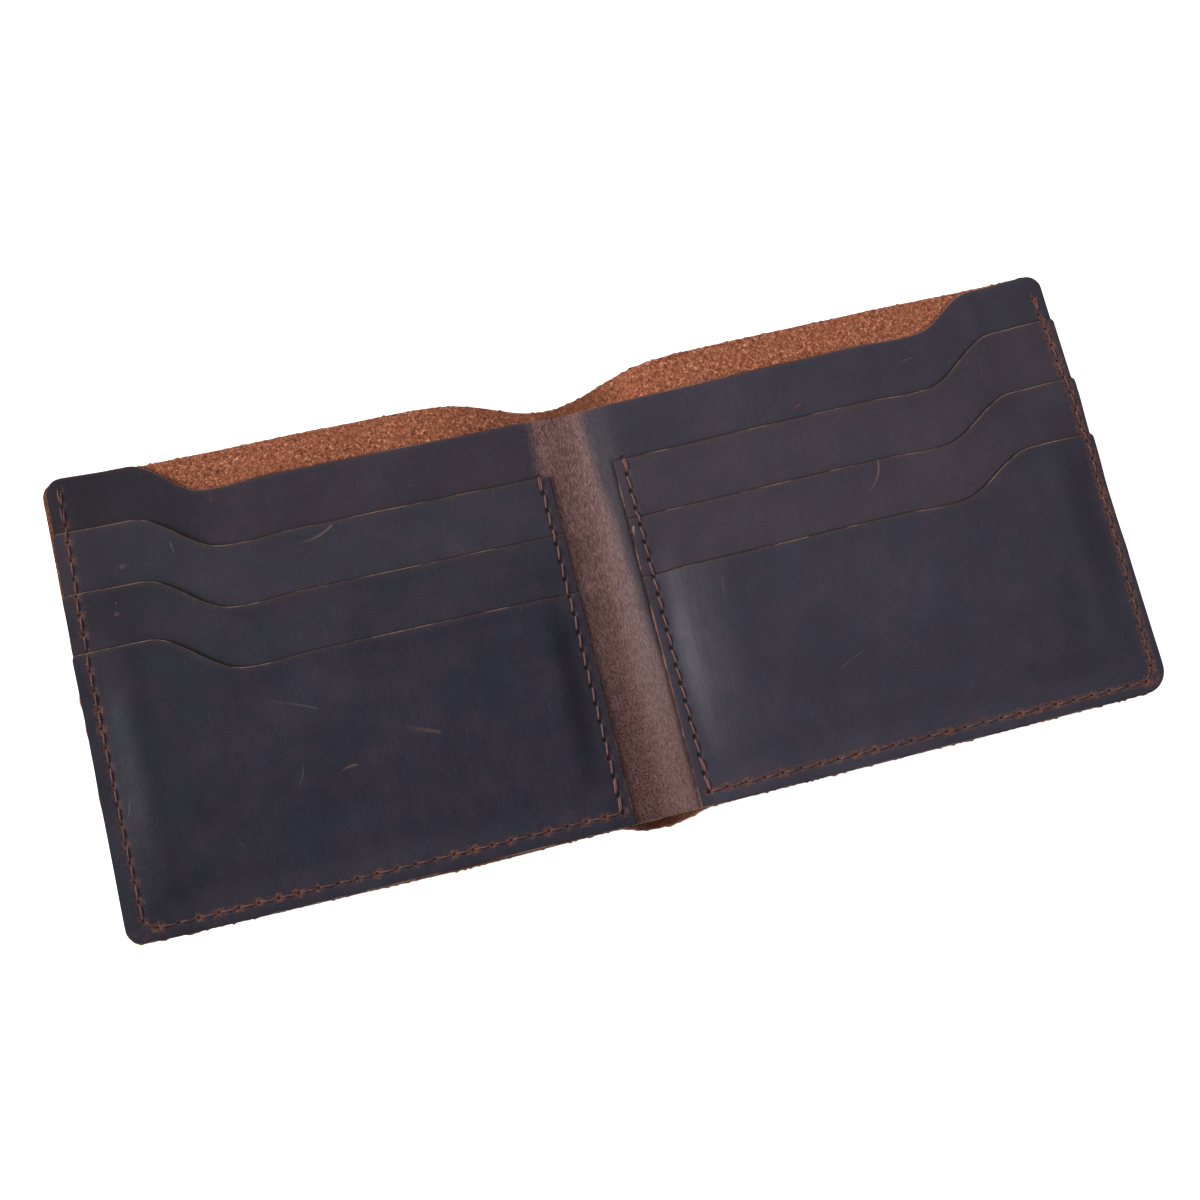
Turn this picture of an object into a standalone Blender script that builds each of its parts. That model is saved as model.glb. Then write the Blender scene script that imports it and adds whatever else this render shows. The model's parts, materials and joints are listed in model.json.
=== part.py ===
"""Bifold wallet, lying open with its inside up.

Units are metres. +X runs to the right half, +Y to the open top of the bill compartment, +Z up. The
origin is on the resting surface, under the middle of the wallet. Each half is a stack of leather
layers on a plane that rises gently from the fold, and the half's own coordinates are

    u  distance from the fold along the half's top plane
    v  distance up from the bottom edge
    h  height over the top plane, which is the front pocket's face (layers below it are negative)

The cover and the liner are single sheets in the real wallet. They are cut at the fold here, so that
each half can turn as one body.
"""

from math import cos, pi, radians, sin, sqrt, tan

import bmesh
import bpy
from mathutils import Vector

# Driving dimensions
HALF_LENGTH = 0.1125  # fold to outer edge
HEIGHT = 0.0996  # bottom edge to top edge
OPEN_TILT = radians(3.1)  # how far each half rises from flat when the wallet lies open
CORNER_RADIUS = 0.0032

# Leather, and the clearance between neighbouring pieces
POCKET_THICKNESS = 0.0009
LINER_THICKNESS = 0.0009
COVER_THICKNESS = 0.0013
GAP = 0.0003
LAYER_STEP = POCKET_THICKNESS + GAP

# Heights of the layers' faces over the half's top plane
FRONT_FACE = 0.0
MIDDLE_FACE = -LAYER_STEP
REAR_FACE = -2 * LAYER_STEP
LINER_FACE = -3 * LAYER_STEP
LINER_BACK = LINER_FACE - LINER_THICKNESS
COVER_BACK = LINER_BACK - GAP - COVER_THICKNESS

# Pocket panels
PANEL_START = 0.0075  # the panels' edges beside the fold
FRONT_TOP = 0.0515
POCKET_STEP = 0.0135  # each layer's edge stands this much above the one before it
MIDDLE_TOP = FRONT_TOP + POCKET_STEP
REAR_TOP = MIDDLE_TOP + POCKET_STEP
EAR_RISE = 0.0088  # the pocket edges rise by this along an S near the outer edge
EAR_START, EAR_END = 0.0795, 0.0985
LINER_TOP = REAR_TOP + POCKET_STEP - 0.0003
LINER_EAR_START, LINER_EAR_END = 0.0790, 0.0970
BAR_OVERLAP = 0.0030  # a T pocket's bar reaches this far behind the next pocket's edge
STEM_START, STEM_END = 0.0165, 0.1010
REAR_FOOT, MIDDLE_FOOT = 0.0290, 0.0150

# The fold
BULGE_DEPTH = 0.0060  # the cover hangs this far below its own plane at the fold
BULGE_FLAT = 0.0050  # half width of the level strip that the wallet rests on
BULGE_BOTTOM_REACH, BULGE_TOP_REACH = 0.0115, 0.0260  # half widths at the bottom and top edges
LINER_SAG, LINER_SAG_REACH = 0.0006, 0.0085
CUT = 0.00015  # half of the gap between the two halves of a sheet that is cut at the fold
HINGE_LIFT = 0.0011  # the fold's axis over the meeting line of the two top planes

# Seams
PITCH = 0.0040
SEAM_OUTER = HALF_LENGTH - 0.0027
SEAM_INNER = 0.0098
SEAM_BOTTOM = 0.0026
SEAM_TOP = HEIGHT - 0.0030
THREAD_SIZE = THREAD_WIDTH, THREAD_HEIGHT = 0.0007, 0.0004
THREAD_PINCH = 0.0004  # its width at the holes
THREAD_LIFT = GAP + THREAD_HEIGHT / 2  # its centre line over the leather
FOOT_SEAM_WIDTH = 0.0008

# Colours
COVER_COLOUR = (0.030, 0.024, 0.027)
LINER_COLOUR = (0.060, 0.036, 0.030)
POCKET_COLOUR = (0.034, 0.026, 0.031)
NEEDLE_COLOUR = (0.130, 0.045, 0.028)
BOBBIN_COLOUR = (0.110, 0.040, 0.026)
LEATHER_ROUGHNESS, THREAD_ROUGHNESS = 0.5, 0.7

PLANES_MEET = BULGE_DEPTH - COVER_BACK / cos(OPEN_TILT)  # height of the two top planes at the fold
HINGE_HEIGHT = PLANES_MEET + HINGE_LIFT


# ---------------------------------------------------------------- placing and shaping
def place(side, u, v, h):
    """A point of one half's own coordinates in the wallet's frame; side is -1 for left, 1 for right."""
    x = u * cos(OPEN_TILT) - h * sin(OPEN_TILT)
    z = PLANES_MEET + u * sin(OPEN_TILT) + h * cos(OPEN_TILT)
    return Vector((side * x, v - HEIGHT / 2, z))


def plane_height(x, h):
    """Height of the layer plane h at distance x from the fold."""
    return PLANES_MEET + x * tan(OPEN_TILT) + h / cos(OPEN_TILT)


def ease(t):
    """0 to 1 along a cosine, level at both ends."""
    return (1 - cos(pi * min(max(t, 0), 1))) / 2


def ear_edge(base, rise, start, end, steps=8):
    """The S of a top edge, from the low part beside the fold to the ear at the outer edge."""
    return [
        (start + (end - start) * i / steps, base + rise * ease(i / steps)) for i in range(steps + 1)
    ]


def corner(u, v, first, steps=4):
    """A rounded corner at u, v, as points round its centre from the angle first, a quarter turn on."""
    return [
        (
            u + CORNER_RADIUS * cos(first + pi / 2 * i / steps),
            v + CORNER_RADIUS * sin(first + pi / 2 * i / steps),
        )
        for i in range(steps + 1)
    ]


def finish(name, bm, side, colour, roughness):
    """Makes the object, with its origin on the fold's axis and its own leather or thread material."""
    if side < 0:
        bmesh.ops.reverse_faces(bm, faces=bm.faces)
    axis = Vector((0, 0, HINGE_HEIGHT))
    bmesh.ops.translate(bm, verts=bm.verts, vec=-axis)
    mesh = bpy.data.meshes.new(name)
    bm.to_mesh(mesh)
    bm.free()
    obj = bpy.data.objects.new(name, mesh)
    bpy.context.scene.collection.objects.link(obj)
    obj.parent = half_axes[side]
    material = bpy.data.materials.new(name)
    material.use_nodes = True
    shader = material.node_tree.nodes["Principled BSDF"]
    shader.inputs["Base Color"].default_value = (*colour, 1)
    shader.inputs["Roughness"].default_value = roughness
    shader.inputs["Metallic"].default_value = 0
    mesh.materials.append(material)
    return obj


def plate(name, side, outline, face, thickness, colour):
    """A flat piece of leather cut to an outline of (u, v) points, given anticlockwise."""
    bm = bmesh.new()
    top = [bm.verts.new(place(side, u, v, face)) for u, v in outline]
    back = [bm.verts.new(place(side, u, v, face - thickness)) for u, v in outline]
    bm.faces.new(top)
    bm.faces.new(back[::-1])
    for i in range(len(outline)):
        j = (i + 1) % len(outline)
        bm.faces.new((top[i], back[i], back[j], top[j]))
    return finish(name, bm, side, colour, LEATHER_ROUGHNESS)


def sheet(name, side, stations, rows, low, high, back_height, thickness, colour):
    """A bent sheet over columns at the given x, from low(x) to high(x) in v. back_height(x, v) is the
    height of its underside, and its face lies one thickness away along the bend's own normal."""
    bm = bmesh.new()
    backs, faces = [], []
    for x in stations:
        back, face = [], []
        for j in range(rows + 1):
            v = low(x) + (high(x) - low(x)) * j / rows
            nudge = 1e-5
            rise = (back_height(x + nudge, v) - back_height(x - nudge, v)) / (2 * nudge)
            length = sqrt(1 + rise * rise)
            z = back_height(x, v)
            y = v - HEIGHT / 2
            back.append(bm.verts.new((side * x, y, z)))
            moved_x = x - thickness * rise / length
            face.append(bm.verts.new((side * moved_x, y, z + thickness / length)))
        backs.append(back)
        faces.append(face)
    last = len(stations) - 1
    for i in range(last):
        for j in range(rows):
            a, b, c, d = (i, j), (i + 1, j), (i + 1, j + 1), (i, j + 1)
            bm.faces.new([faces[p][q] for p, q in (a, b, c, d)])
            bm.faces.new([backs[p][q] for p, q in (d, c, b, a)])
        bm.faces.new((backs[i][0], backs[i + 1][0], faces[i + 1][0], faces[i][0]))
        bm.faces.new((faces[i][rows], faces[i + 1][rows], backs[i + 1][rows], backs[i][rows]))
    for j in range(rows):
        bm.faces.new((backs[0][j], faces[0][j], faces[0][j + 1], backs[0][j + 1]))
        bm.faces.new((faces[last][j], backs[last][j], backs[last][j + 1], faces[last][j + 1]))
    bmesh.ops.triangulate(bm, faces=bm.faces)
    return finish(name, bm, side, colour, LEATHER_ROUGHNESS)


# ---------------------------------------------------------------- cover and liner
def outer_edge_stations(end, steps=5):
    """Columns over the rounded corners, closing up towards the outer edge."""
    return [end - CORNER_RADIUS * (1 - sin(pi / 2 * i / steps)) for i in range(steps + 1)]


def corner_inset(x, end):
    """How far a rounded corner pulls the sheet's edge in at x."""
    into = max(0.0, x - (end - CORNER_RADIUS))
    return CORNER_RADIUS - sqrt(max(0.0, CORNER_RADIUS**2 - into**2))


def cover_height(x, v):
    """Underside of the cover: on the half's plane, and level at 0 where it rests under the fold."""
    x = abs(x)
    share = sin(pi / 2 * v / HEIGHT)
    reach = BULGE_BOTTOM_REACH + (BULGE_TOP_REACH - BULGE_BOTTOM_REACH) * share
    free = ease((x - BULGE_FLAT) / (reach - BULGE_FLAT))
    return plane_height(x, COVER_BACK) * free


def cover(side, name):
    end = HALF_LENGTH * cos(OPEN_TILT) - COVER_BACK * sin(OPEN_TILT)
    bend = [BULGE_FLAT + i * 0.0015 for i in range(15)]
    stations = [CUT, 0.0025, *bend, 0.045, 0.075, *outer_edge_stations(end)]
    sheet(
        name,
        side,
        stations,
        10,
        lambda x: corner_inset(x, end),
        lambda x: HEIGHT - corner_inset(x, end),
        cover_height,
        COVER_THICKNESS,
        COVER_COLOUR,
    )


def liner_height(x, v):
    """Underside of the liner: on the half's plane, and sagging a little across the fold."""
    x = abs(x)
    sag = LINER_SAG * (1 - ease(x / LINER_SAG_REACH))
    return plane_height(x, LINER_BACK) - sag


def liner(side, name):
    end = HALF_LENGTH * cos(OPEN_TILT) - LINER_BACK * sin(OPEN_TILT)

    def top(x):
        share = (x - LINER_EAR_START) / (LINER_EAR_END - LINER_EAR_START)
        return LINER_TOP + (HEIGHT - LINER_TOP) * ease(share) - corner_inset(x, end)

    across = [LINER_SAG_REACH * i / 6 for i in range(1, 7)]
    ear = [u for u, v in ear_edge(0, 1, LINER_EAR_START, LINER_EAR_END)]
    stations = [CUT, *across, *ear, *outer_edge_stations(end)]
    sheet(
        name,
        side,
        stations,
        1,
        lambda x: corner_inset(x, end),
        top,
        liner_height,
        LINER_THICKNESS,
        LINER_COLOUR,
    )


# ---------------------------------------------------------------- pockets
def front_pocket(side, name):
    outline = [
        (PANEL_START, 0),
        *corner(HALF_LENGTH - CORNER_RADIUS, CORNER_RADIUS, -pi / 2),
        (HALF_LENGTH, FRONT_TOP + EAR_RISE),
        *ear_edge(FRONT_TOP, EAR_RISE, EAR_START, EAR_END)[::-1],
        (PANEL_START, FRONT_TOP),
    ]
    plate(name, side, outline, FRONT_FACE, POCKET_THICKNESS, POCKET_COLOUR)


def t_pocket(side, name, top, next_top, foot, face):
    """A pocket whose bar is sewn into the panel's sides and whose narrower stem holds the cards.
    next_top is the edge of the pocket in front, which hides the feet of the bar."""
    inner_foot = next_top - BAR_OVERLAP
    outer_foot = inner_foot + EAR_RISE
    outline = [
        (STEM_START, foot),
        (STEM_END, foot),
        (STEM_END, outer_foot),
        (HALF_LENGTH, outer_foot),
        (HALF_LENGTH, top + EAR_RISE),
        *ear_edge(top, EAR_RISE, EAR_START, EAR_END)[::-1],
        (PANEL_START, top),
        (PANEL_START, inner_foot),
        (STEM_START, inner_foot),
    ]
    plate(name, side, outline, face, POCKET_THICKNESS, POCKET_COLOUR)


# ---------------------------------------------------------------- thread
def thread(name, side, points, width, height, colour):
    """A thread along (u, v, h) points: wide in the middle of each stitch, pinched at each hole."""
    bm = bmesh.new()
    rings = []
    last = len(points) - 1
    for i, (u, v, h) in enumerate(points):
        before, after = points[max(i - 1, 0)], points[min(i + 1, last)]
        along = Vector((after[0] - before[0], after[1] - before[1])).normalized()
        half = (width if i % 2 else THREAD_PINCH) / 2
        across = Vector((-along.y, along.x)) * half
        rings.append(
            [
                bm.verts.new(place(side, u + a * across.x, v + a * across.y, h + b * height / 2))
                for a, b in ((-1, -1), (1, -1), (1, 1), (-1, 1))
            ]
        )
    for ring, after in zip(rings, rings[1:]):
        for k in range(4):
            bm.faces.new((ring[k], ring[(k + 1) % 4], after[(k + 1) % 4], after[k]))
    bm.faces.new(rings[0][::-1])
    bm.faces.new(rings[-1])
    bmesh.ops.triangulate(bm, faces=bm.faces)
    return finish(name, bm, side, colour, THREAD_ROUGHNESS)


def spaced(start, end):
    """Places every half pitch from start to end, ends included, as near to the pitch as fits."""
    halves = 2 * max(1, round(abs(end - start) / PITCH))
    return [start + (end - start) * i / halves for i in range(halves + 1)]


def face_level(v, rise):
    """Height of the panel's face at v on a seam, where the pockets' edges stand rise higher."""
    reach = PITCH / 2 + GAP
    for top, face in ((FRONT_TOP, FRONT_FACE), (MIDDLE_TOP, MIDDLE_FACE), (REAR_TOP, REAR_FACE)):
        if v - reach < top + rise:
            return face
    return LINER_FACE


def edge_seam(side, hand):
    """The seam through everything, down the outer edge and along the bottom to the fold: its needle
    thread on the panel's face, and its bobbin thread on the cover's back as far as the bulge."""
    places = spaced(SEAM_TOP, SEAM_BOTTOM)
    needle = [(SEAM_OUTER, v, face_level(v, EAR_RISE) + THREAD_LIFT) for v in places]
    bottom = spaced(SEAM_OUTER, SEAM_INNER)[1:]
    needle += [(u, SEAM_BOTTOM, FRONT_FACE + THREAD_LIFT) for u in bottom]
    thread(f"edge_seam_needle_thread_{hand}", side, needle, *THREAD_SIZE, NEEDLE_COLOUR)
    back = COVER_BACK - THREAD_LIFT
    bobbin = [(SEAM_OUTER, v, back) for v in places]
    bobbin += [(u, SEAM_BOTTOM, back) for u in bottom if u > BULGE_BOTTOM_REACH + PITCH / 2]
    thread(f"edge_seam_bobbin_thread_{hand}", side, bobbin, *THREAD_SIZE, BOBBIN_COLOUR)


def inner_seam(side, hand):
    """The seam beside the fold, through the pockets and the liner only: its bobbin thread is on the
    liner's back, inside the bill compartment."""
    places = spaced(SEAM_BOTTOM + PITCH * 0.6, REAR_TOP)
    needle = [(SEAM_INNER, v, face_level(v, 0) + THREAD_LIFT) for v in places]
    thread(f"inner_seam_needle_thread_{hand}", side, needle, *THREAD_SIZE, NEEDLE_COLOUR)
    bobbin = [(SEAM_INNER, v, LINER_BACK - THREAD_LIFT) for v in places]
    thread(f"inner_seam_bobbin_thread_{hand}", side, bobbin, *THREAD_SIZE, BOBBIN_COLOUR)


def foot_seam(side, name, foot, face):
    """The stitches over the foot of a T pocket's stem, which hold it to the liner."""
    low = LINER_FACE + GAP
    v = foot - GAP - FOOT_SEAM_WIDTH / 2
    places = spaced(STEM_START + PITCH, STEM_END - PITCH)
    points = [(u, v, (low + face) / 2) for u in places]
    thread(name, side, points, FOOT_SEAM_WIDTH, face - low, BOBBIN_COLOUR)


# ---------------------------------------------------------------- the wallet
def clear_scene():
    for obj in list(bpy.data.objects):
        bpy.data.objects.remove(obj)


def half_axis(name):
    """The empty on the fold's axis that one half hangs from."""
    axis = bpy.data.objects.new(name, None)
    axis.location = (0, 0, HINGE_HEIGHT)
    bpy.context.scene.collection.objects.link(axis)
    return axis


def build_half(side, hand):
    cover(side, f"outer_cover_{hand}")
    liner(side, f"liner_{hand}")
    t_pocket(side, f"rear_pocket_{hand}", REAR_TOP, MIDDLE_TOP, REAR_FOOT, REAR_FACE)
    t_pocket(side, f"middle_pocket_{hand}", MIDDLE_TOP, FRONT_TOP, MIDDLE_FOOT, MIDDLE_FACE)
    front_pocket(side, f"front_pocket_{hand}")
    edge_seam(side, hand)
    inner_seam(side, hand)
    foot_seam(side, f"rear_pocket_foot_seam_{hand}", REAR_FOOT, REAR_FACE)
    foot_seam(side, f"middle_pocket_foot_seam_{hand}", MIDDLE_FOOT, MIDDLE_FACE)


clear_scene()
half_axes = {-1: half_axis("left_half_axis"), 1: half_axis("right_half_axis")}
build_half(-1, "left")
build_half(1, "right")
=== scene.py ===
import json
from math import cos, hypot, pi, radians, sin, tau

import bmesh
import bpy
import numpy as np
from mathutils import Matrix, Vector


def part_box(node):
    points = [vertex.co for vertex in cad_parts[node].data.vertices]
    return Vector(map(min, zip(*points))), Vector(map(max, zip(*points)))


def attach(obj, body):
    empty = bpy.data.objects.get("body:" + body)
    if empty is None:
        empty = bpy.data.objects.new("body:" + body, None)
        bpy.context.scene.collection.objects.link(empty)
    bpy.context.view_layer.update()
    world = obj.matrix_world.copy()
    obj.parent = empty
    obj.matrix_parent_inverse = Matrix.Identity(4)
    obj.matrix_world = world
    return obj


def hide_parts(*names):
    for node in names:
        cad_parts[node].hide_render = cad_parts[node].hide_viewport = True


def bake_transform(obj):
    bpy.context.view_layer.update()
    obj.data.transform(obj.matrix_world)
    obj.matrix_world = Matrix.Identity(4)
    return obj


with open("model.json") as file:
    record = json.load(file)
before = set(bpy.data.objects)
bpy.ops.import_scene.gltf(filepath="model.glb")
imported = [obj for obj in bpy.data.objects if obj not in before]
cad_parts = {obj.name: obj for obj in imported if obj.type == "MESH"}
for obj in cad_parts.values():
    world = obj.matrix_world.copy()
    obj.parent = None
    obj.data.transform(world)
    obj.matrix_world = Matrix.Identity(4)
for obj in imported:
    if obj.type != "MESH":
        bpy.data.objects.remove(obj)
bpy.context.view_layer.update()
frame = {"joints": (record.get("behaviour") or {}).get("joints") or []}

# Bifold wallet, lying open with its inside up: the looks of its leather, its seams and its setting.
#
# Every piece is laid out in flat leather coordinates, in metres:
#   s  across the wallet from the fold, negative on the left half; u is its distance from the fold
#   v  up from the bottom edge
#   h  height over the half's top plane, as in the frame
# They are also each sheet's UV map, so grain, wear and stitch marks stay put when the wallet folds.
# Values that differ between the halves are held by side: -1 is the left half and 1 the right.

# ---------------------------------------- driving dimensions
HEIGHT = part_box("outer_cover_left")[1].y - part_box("outer_cover_left")[0].y
HINGE_LIFT = 0.0011
PLANES_MEET = frame["joints"][0]["pos_m"][2] - HINGE_LIFT
OPEN_TILT = radians(3.1)

POCKET_THICKNESS = 0.00085
LINER_THICKNESS = 0.0009
COVER_THICKNESS = 0.0013
SPACE = 0.00013  # air between a pocket and what it lies on
STEP_UP = POCKET_THICKNESS + SPACE
LINER_BACK = -0.0045
COVER_INSIDE = -0.0048
EDGE_RADIUS = 0.00022

COVER_ENDS = {-1: 0.1130, 1: 0.1121}
LINER_END = 0.1120
POCKETS = ("rear", "middle", "front")  # from the back to the front
POCKET_ENDS = {
    -1: {"rear": 0.1122, "middle": 0.11245, "front": 0.1127},
    1: {"rear": 0.1121, "middle": 0.1123, "front": 0.1125},
}
TOP_CORNER = 0.0032
LOW_CORNERS = {-1: 0.0034, 1: 0.0050}
BAR_CORNER = 0.0009

# each layer's top edge: low part, rise to the ear, middle of the S up to it, and the S's half width
EDGES = {
    "liner": (0.0917, {-1: 0.0078, 1: 0.0065}, {-1: 0.0877, 1: 0.0886}, 0.0070),
    "rear": (0.0784, {-1: 0.0090, 1: 0.0087}, {-1: 0.0873, 1: 0.0890}, 0.0088),
    "middle": (0.0647, {-1: 0.0090, 1: 0.0078}, {-1: 0.0876, 1: 0.0890}, 0.0088),
    "front": (0.0514, {-1: 0.0096, 1: 0.0078}, {-1: 0.0880, 1: 0.0891}, 0.0092),
}
LYING_ON = {"cover": "liner", "liner": "rear", "rear": "middle", "middle": "front"}

PANEL_STARTS = {-1: 0.0067, 1: 0.0075}
BAR_OVERLAP = 0.0030
BAR_DRAPE = 0.0100
STEM_START, STEM_END = 0.0165, 0.1010
DRAPE_START, DRAPE_END = 0.0103, 0.1096  # where the leather over a stem has come down beside it
FEET = {"rear": 0.0290, "middle": 0.0150}
FOOT_DRAPES = {"rear": 0.0160, "middle": 0.0115}
STEM_SLANT = 0.0015

PITCH = 0.0040
SEAM_OUTER = {-1: (0.1095, 0.0007, 0.054), 1: (0.1107, 0.0013, 0.045)}  # line, bow, and v of its middle
SEAM_INNER = {-1: 0.0089, 1: 0.0099}
SEAM_BOTTOM = 0.0031
SEAM_TOPS = {-1: 0.0972, 1: 0.0928}
CORNER_HOLES = {-1: 0.0050, 1: 0.0062}
BOTTOM_ENDS = {-1: 0.1062, 1: 0.1077}
INNER_SEAM_TOP = 0.0788
EDGE_THREAD, INNER_THREAD, FOOT_THREAD = 0.00019, 0.00021, 0.00020  # radii
STITCH_DIVE = 0.0011
PULL_OUTER, PULL_BOTTOM = 0.0011, 0.0006  # how far the seams pull liner and cover up

BULGE_CENTRE = -0.0022
HANDS = {-1: "left", 1: "right"}


# ---------------------------------------- shapes in numbers
def ease(t):
    """0 to 1 along a cosine, level at both ends."""
    return (1 - np.cos(pi * np.clip(t, 0, 1))) / 2


def by_side(s, values):
    return np.where(np.asarray(s) < 0, values[-1], values[1])


def place(s, v, h):
    """Row frame points of flat leather coordinates, rounded off where the two planes meet."""
    rounding = 0.004
    away = np.sqrt(s * s + rounding * rounding)
    x = s * cos(OPEN_TILT) - h * sin(OPEN_TILT) * s / away
    z = PLANES_MEET + away * sin(OPEN_TILT) + h * cos(OPEN_TILT)
    return np.stack(np.broadcast_arrays(x, v - HEIGHT / 2, z), axis=-1)


def ripple(s, v):
    """The slight unevenness of hand-worked leather, the same for every layer."""
    broad = np.sin(tau * (s / 0.043 + v / 0.071) + 1.0) + np.sin(tau * (s / 0.027 - v / 0.052) + 2.3)
    small = np.sin(tau * (s / 0.013 + v / 0.023) + 0.4) * np.sin(tau * (v / 0.017 - s / 0.031))
    return 0.00007 * broad + 0.00003 * small


def top_edge(layer, s):
    """Height in v of a layer's top edge. A pocket's is straight beside the fold, dips a little, and
    rises in an S to the ear. The cover's is arched, and dips where the open fold hangs down."""
    u = np.abs(s)
    if layer == "cover":
        left = 0.1000 - 0.0008 * (u / 0.112) ** 2
        right = 0.1002 - 0.0018 * (u / 0.112) ** 2.2
        dip = 0.0027 * np.exp(-((np.abs(s + 0.0033) / 0.0155) ** 2.4))
        return np.where(s < 0, left, right) - dip
    low, rises, centres, half = EDGES[layer]
    start = by_side(s, centres) - half
    dip = 0.0006 * np.exp(-(((u - start + 0.004) / 0.006) ** 2))
    return low - dip + by_side(s, rises) * ease((u - start) / (2 * half))


def bottom_edge(s):
    """Height in v of the bottom edge, which every layer but the T pockets reaches."""
    return 0.0006 * (np.abs(s) / 0.11) ** 3


def depth_in(layer, s, v):
    """How far each point lies inside a layer's top edge, and a pocket's edge beside the fold."""
    if layer is None:
        return -np.ones(s.shape)
    step = 1e-4
    slope = (top_edge(layer, s + step) - top_edge(layer, s - step)) / (2 * step)
    below = (top_edge(layer, s) - v) / np.hypot(1, slope)
    return np.minimum(below, np.abs(s) - by_side(s, PANEL_STARTS)) if layer in POCKETS else below


def edge_distances(layer, s, v):
    """Distances inside the layer's own edges, and outside those of the layer on top of it."""
    return np.stack([depth_in(layer, s, v), -depth_in(LYING_ON.get(layer), s, v)], axis=-1)


def squeeze(u, v):
    """How far the seams pull liner and cover up, towards the pockets, at the outer and bottom edges."""
    outer = ease((u - 0.0975) / 0.0125)
    bottom = ease((0.0095 - v) / 0.0075) * ease((u - 0.0085) / 0.006)
    return PULL_OUTER * outer + PULL_BOTTOM * bottom * (1 - outer)


def over_stems(u):
    """1 over the pockets' stems, 0 at the seams beside them, where leather drapes down off the stems."""
    rise = ease((u - DRAPE_START) / (STEM_START - DRAPE_START))
    return rise * ease((DRAPE_END - u) / (DRAPE_END - STEM_END))


def lifted_by(kind, s, v):
    """1 where a T pocket lies under the leather on top of it, easing to 0 past its edges."""
    bar = ease((v - top_edge(LYING_ON[kind], s) + BAR_OVERLAP) / BAR_DRAPE + 1)
    stem = over_stems(np.abs(s))
    return (1 - (1 - stem) * (1 - bar)) * ease((v - FEET[kind]) / FOOT_DRAPES[kind] + 1)


def liner_back(s, v):
    """The liner lies on its planes and sags a little over the fold."""
    sag = 0.0012 * np.exp(-((s / 0.0048) ** 2))
    return LINER_BACK + squeeze(np.abs(s), v) - sag + ripple(s, v)


def liner_face(s, v):
    return liner_back(s, v) + LINER_THICKNESS


def mouth(layer, s, v):
    """A pocket's edge stands off the layer behind it a little, except where seams hold it."""
    u = np.abs(s)
    held = ease((u - 0.012) / 0.02) * ease((0.106 - u) / 0.012)
    return 0.00016 * held * np.exp(-((top_edge(layer, s) - v) / 0.0025) ** 2)


def pocket_back(kind, s, v):
    """Height of a pocket's suede side, on the liner and the pockets behind it."""
    under = {"rear": (), "middle": ("rear",), "front": ("rear", "middle")}[kind]
    lift = sum(STEP_UP * lifted_by(other, s, v) for other in under)
    return liner_face(s, v) + SPACE + lift + mouth(kind, s, v)


def cover_inside(s, v):
    """Row frame points of the cover's inner side. Its slack hangs down at the fold, narrow at the
    stitched bottom edge and wide at the open top, and slips towards the bottom."""
    share = np.sin(pi / 2 * np.clip(v / HEIGHT, 0, 1))
    away = s - BULGE_CENTRE * share
    wide = 1 - np.exp(-((away / 0.0150) ** 2))
    narrow = ease((np.abs(away) - 0.0012) / 0.0095)
    free = narrow + (wide - narrow) * share
    points = place(s, v, COVER_INSIDE + squeeze(np.abs(s), v) + ripple(s, v))
    low = COVER_THICKNESS + 0.0001
    points[..., 2] = low + (points[..., 2] - low) * free
    points[..., 1] -= 0.0018 * (1 - free)
    return points


# ---------------------------------------- seams
def holes(start, end):
    """Hole places along a seam, as near to the pitch as fits."""
    count = max(1, round(abs(end - start) / PITCH))
    return np.linspace(start, end, count + 1)


def outer_line(side, v):
    """How far out the outer seam runs at v: it bows a little."""
    line, bow, middle = SEAM_OUTER[side]
    return line - bow * ((v - middle) / 0.045) ** 2


def seam_holes(side):
    """(u, v) of every hole of the edge seam and of the inner seam of one half."""
    down = [(outer_line(side, v), v) for v in holes(SEAM_TOPS[side], CORNER_HOLES[side])]
    along = [(u, SEAM_BOTTOM) for u in holes(BOTTOM_ENDS[side], SEAM_INNER[side])]
    inner = [(SEAM_INNER[side], v) for v in holes(INNER_SEAM_TOP, SEAM_BOTTOM)]
    return np.array(down + along), np.array(inner)


def groove(side, u, v, inner=True):
    """How far the stitches sink into the leather: a shallow channel, deeper at each hole."""
    edge, beside_fold = seam_holes(side)
    channel = np.exp(-(((u - outer_line(side, v)) / 0.0007) ** 2)) * (v < SEAM_TOPS[side] + 0.001)
    bottom = np.exp(-(((v - SEAM_BOTTOM) / 0.0007) ** 2)) * (u > SEAM_INNER[side])
    channel = np.maximum(channel * (v > SEAM_BOTTOM), bottom * (u < BOTTOM_ENDS[side] + 0.001))
    points = edge
    if inner:
        beside = np.exp(-(((u - SEAM_INNER[side]) / 0.0006) ** 2)) * (v < INNER_SEAM_TOP + 0.001)
        channel = np.maximum(channel, beside * (v > SEAM_BOTTOM))
        points = np.concatenate([edge, beside_fold])
    depth = 0.00008 * channel
    for hole_u, hole_v in points:
        near = (np.abs(u - hole_u) < 0.002) & (np.abs(v - hole_v) < 0.002)
        distance = (u[near] - hole_u) ** 2 + (v[near] - hole_v) ** 2
        depth[near] += 0.00024 * np.exp(-distance / 0.00040**2)
    return depth


def both_grooves(s, v):
    """The edge seams' grooves on a sheet that spans both halves."""
    return np.where(s < 0, groove(-1, -s, v, inner=False), groove(1, s, v, inner=False))


# ---------------------------------------- sheets of leather
def stations(start, end, step, fine=()):
    """Places from start to end, a step apart, and closer where fine gives (centre, reach, step)."""
    places = [start]
    while places[-1] < end:
        near = [close for centre, reach, close in fine if abs(places[-1] - centre) < reach]
        places.append(places[-1] + min([step, *near]))
    places = np.array(places)
    return start + (places - start) * (end - start) / (places[-1] - start)


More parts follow.
